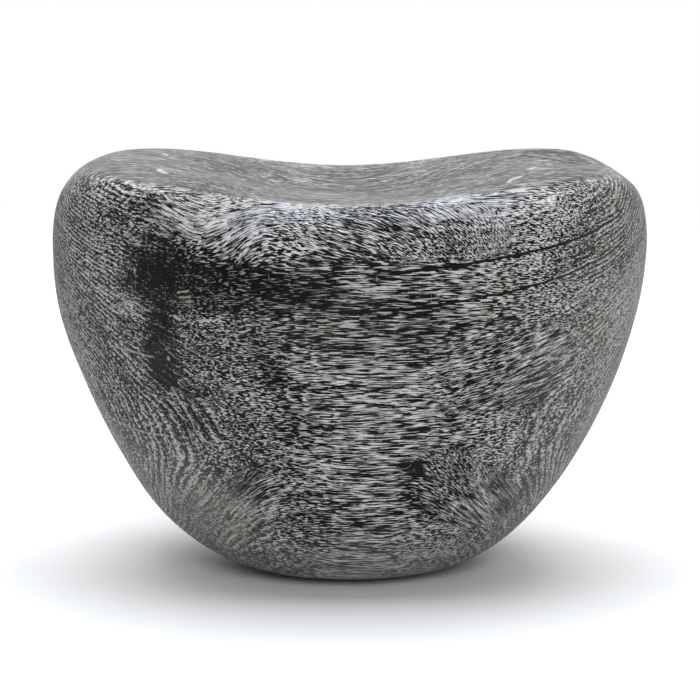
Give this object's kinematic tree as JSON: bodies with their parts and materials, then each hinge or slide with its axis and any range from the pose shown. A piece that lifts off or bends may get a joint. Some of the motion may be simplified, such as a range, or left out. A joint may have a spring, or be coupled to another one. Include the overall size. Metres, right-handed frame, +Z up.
{
  "type": "carved wood saddle stool",
  "caption": "Low saddle stool carved from a solid wood block, oval in plan with a dished seat, stained black with pale lime in the grain, on felt glides.",
  "frame": {"origin": "on the floor, under the middle of the stool: z = 0 is the underside of the felt glides", "axes": "+X along the seat's length, from one shoulder to the other, -Y the front, +Z up"},
  "size_m": [0.61, 0.385, 0.425],
  "materials": {
    "blackened_wood": "black stain with light grey lime in the open pores, matt to low satin",
    "black_nylon": "moulded, matt",
    "grey_felt": "pressed felt",
    "zinc_steel": "zinc plated"
  },
  "bodies": {
    "root": {"wood_block": "blackened_wood", "glide_cup_front_left": "black_nylon", "glide_cup_front_right": "black_nylon", "glide_cup_back_left": "black_nylon", "glide_cup_back_right": "black_nylon", "glide_felt_front_left": "grey_felt", "glide_felt_front_right": "grey_felt", "glide_felt_back_left": "grey_felt", "glide_felt_back_right": "grey_felt", "glide_screw_front_left": "zinc_steel", "glide_screw_front_right": "zinc_steel", "glide_screw_back_left": "zinc_steel", "glide_screw_back_right": "zinc_steel"}
  },
  "joints": []
}
